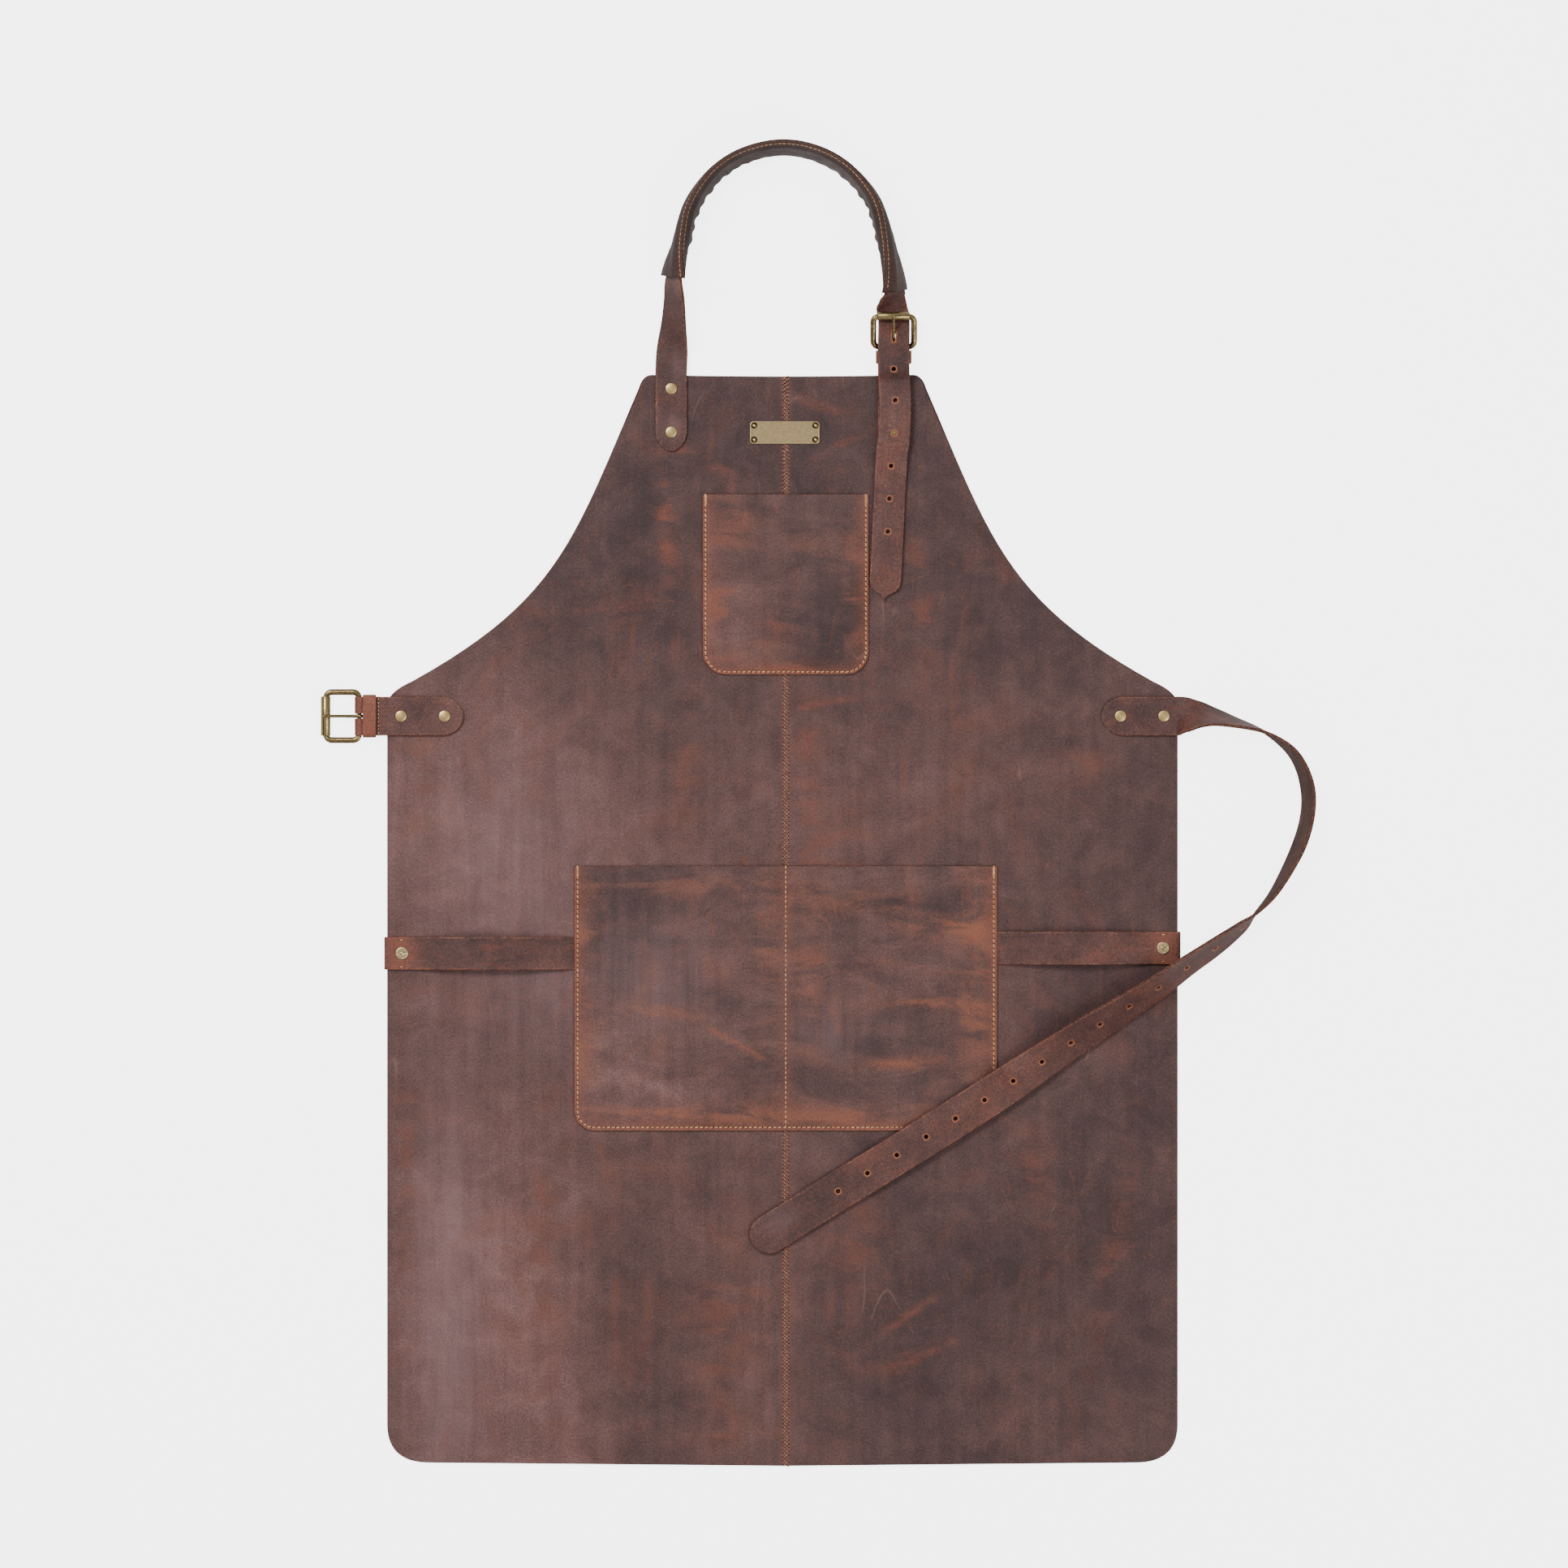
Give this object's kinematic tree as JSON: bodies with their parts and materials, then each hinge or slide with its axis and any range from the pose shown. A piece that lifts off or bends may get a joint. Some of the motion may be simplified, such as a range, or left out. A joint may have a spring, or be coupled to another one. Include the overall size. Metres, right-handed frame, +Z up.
{
  "type": "butcher apron",
  "caption": "Leather bib apron lying flat, with a sleeved neck strap, buckled waist strap, two patch pockets, towel loops, rivets and a small name plate.",
  "frame": {"origin": "middle of the body's underside, half way up and half way across, on the surface it lies on", "axes": "+Z up out of the grain side, +Y from the hem to the bib, +X to the side of the long waist strap"},
  "size_m": [0.7547, 1.0062, 0.0315],
  "materials": {
    "hide": "oiled pull-up leather, worn, low sheen",
    "pocket_hide": "oiled pull-up leather, warmer near the seams",
    "strap_hide": "oiled strap leather with lighter worn edges",
    "sleeve_hide": "dark soft leather with a sewn flange",
    "brass": "antique brass, worn bright on its edges",
    "pale_brass": "pale brass, brushed"
  },
  "bodies": {
    "apron": {"body_panel_left": "hide", "body_panel_right": "hide", "chest_pocket": "pocket_hide", "lower_pocket": "pocket_hide", "neck_strap": "strap_hide", "waist_strap": "strap_hide", "neck_buckle_strap": "strap_hide", "waist_buckle_tab": "strap_hide", "towel_loop_left": "strap_hide", "towel_loop_right": "strap_hide", "neck_sleeve": "sleeve_hide", "name_plate": "brass", "neck_left_rivet_1_post": "brass", "neck_left_rivet_2_post": "brass", "neck_right_rivet_1_post": "brass", "neck_right_rivet_2_post": "brass", "waist_left_rivet_1_post": "brass", "waist_left_rivet_2_post": "brass", "waist_right_rivet_1_post": "brass", "waist_right_rivet_2_post": "brass", "loop_left_stud_post": "brass", "loop_right_stud_post": "brass", "neck_left_rivet_1_cap": "pale_brass", "neck_left_rivet_2_cap": "pale_brass", "neck_right_rivet_1_cap": "pale_brass", "neck_right_rivet_2_cap": "pale_brass", "waist_left_rivet_1_cap": "pale_brass", "waist_left_rivet_2_cap": "pale_brass", "waist_right_rivet_1_cap": "pale_brass", "waist_right_rivet_2_cap": "pale_brass", "loop_left_stud_head": "pale_brass", "loop_right_stud_head": "pale_brass", "name_plate_pin_1": "pale_brass", "name_plate_pin_2": "pale_brass", "name_plate_pin_3": "pale_brass", "name_plate_pin_4": "pale_brass"},
    "waist_frame": {"waist_buckle_frame": "brass"},
    "waist_roller": {"waist_buckle_roller": "brass"},
    "waist_prong": {"waist_buckle_prong": "brass"},
    "waist_keeper_loop": {"waist_keeper": "strap_hide"},
    "neck_frame": {"neck_buckle_frame": "brass"},
    "neck_roller": {"neck_buckle_roller": "brass"},
    "neck_prong": {"neck_buckle_prong": "brass"},
    "neck_keeper_loop": {"neck_keeper": "strap_hide"}
  },
  "joints": [
    {"name": "waist_frame_lift", "type": "hinge", "parent": "apron", "child": "waist_frame", "pos_m": [-0.321, 0.155, 0.0051], "axis": [0, 1, 0], "range_deg": [0, 45]},
    {"name": "waist_prong_lift", "type": "hinge", "parent": "waist_frame", "child": "waist_prong", "pos_m": [-0.321, 0.155, 0.0051], "axis": [0, 1, 0], "range_deg": [0, 45]},
    {"name": "waist_roller_spin", "type": "hinge", "parent": "waist_frame", "child": "waist_roller", "pos_m": [-0.34658, 0.155, 0.00398], "axis": [0, 1, 0], "continuous": true},
    {"name": "waist_keeper_slide", "type": "slide", "parent": "apron", "child": "waist_keeper_loop", "axis": [1, 0, 0], "range_m": [0, 0.0016]},
    {"name": "neck_frame_lift", "type": "hinge", "parent": "apron", "child": "neck_frame", "pos_m": [0.0844, 0.435, 0.0051], "axis": [1, 0, 0], "range_deg": [0, 6]},
    {"name": "neck_prong_lift", "type": "hinge", "parent": "neck_frame", "child": "neck_prong", "pos_m": [0.0844, 0.435, 0.0051], "axis": [1, 0, 0], "range_deg": [0, 4]},
    {"name": "neck_roller_spin", "type": "hinge", "parent": "neck_frame", "child": "neck_roller", "pos_m": [0.0844, 0.4583, 0.01267], "axis": [1, 0, 0], "continuous": true},
    {"name": "neck_keeper_slide", "type": "slide", "parent": "apron", "child": "neck_keeper_loop", "axis": [0, -1, 0], "range_m": [0, 0.0016]}
  ]
}
